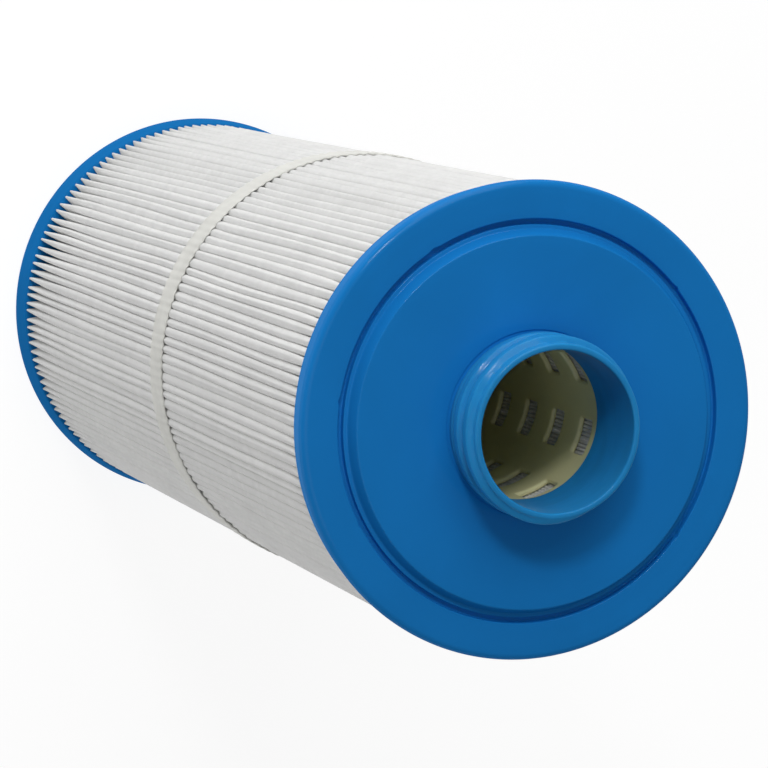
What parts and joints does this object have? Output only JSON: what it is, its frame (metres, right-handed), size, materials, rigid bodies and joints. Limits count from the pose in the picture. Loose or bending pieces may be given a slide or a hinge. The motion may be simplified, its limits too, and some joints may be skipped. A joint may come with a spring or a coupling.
{
  "type": "pleated filter cartridge",
  "caption": "Round pleated water filter cartridge with two cast end caps, a perforated core, a coarse male threaded neck at one end and a grip recess at the closed end.",
  "frame": {"origin": "centre of the closed end cap's outer face, on which the cartridge stands", "axes": "+Z along the cartridge's axis, from the closed cap to the threaded neck; the grip bar runs along X"},
  "size_m": [0.125, 0.125, 0.3147],
  "materials": {
    "fitting_plastic": "glossy injection-moulded light blue plastic",
    "cap_resin": "glossy cast blue polyurethane",
    "core_plastic": "satin ivory moulded plastic",
    "filter_media": "white spunbonded polyester, folded",
    "seam_adhesive": "satin hot-melt adhesive",
    "band": "off-white polyester band, adhesive-faced"
  },
  "bodies": {
    "root": {"threaded_fitting": "fitting_plastic", "open_end_cap": "cap_resin", "core_tube": "core_plastic", "pleated_media": "filter_media", "media_seam": "seam_adhesive", "support_band": "band", "closed_end_cap": "cap_resin", "grip_insert": "fitting_plastic"}
  },
  "joints": []
}
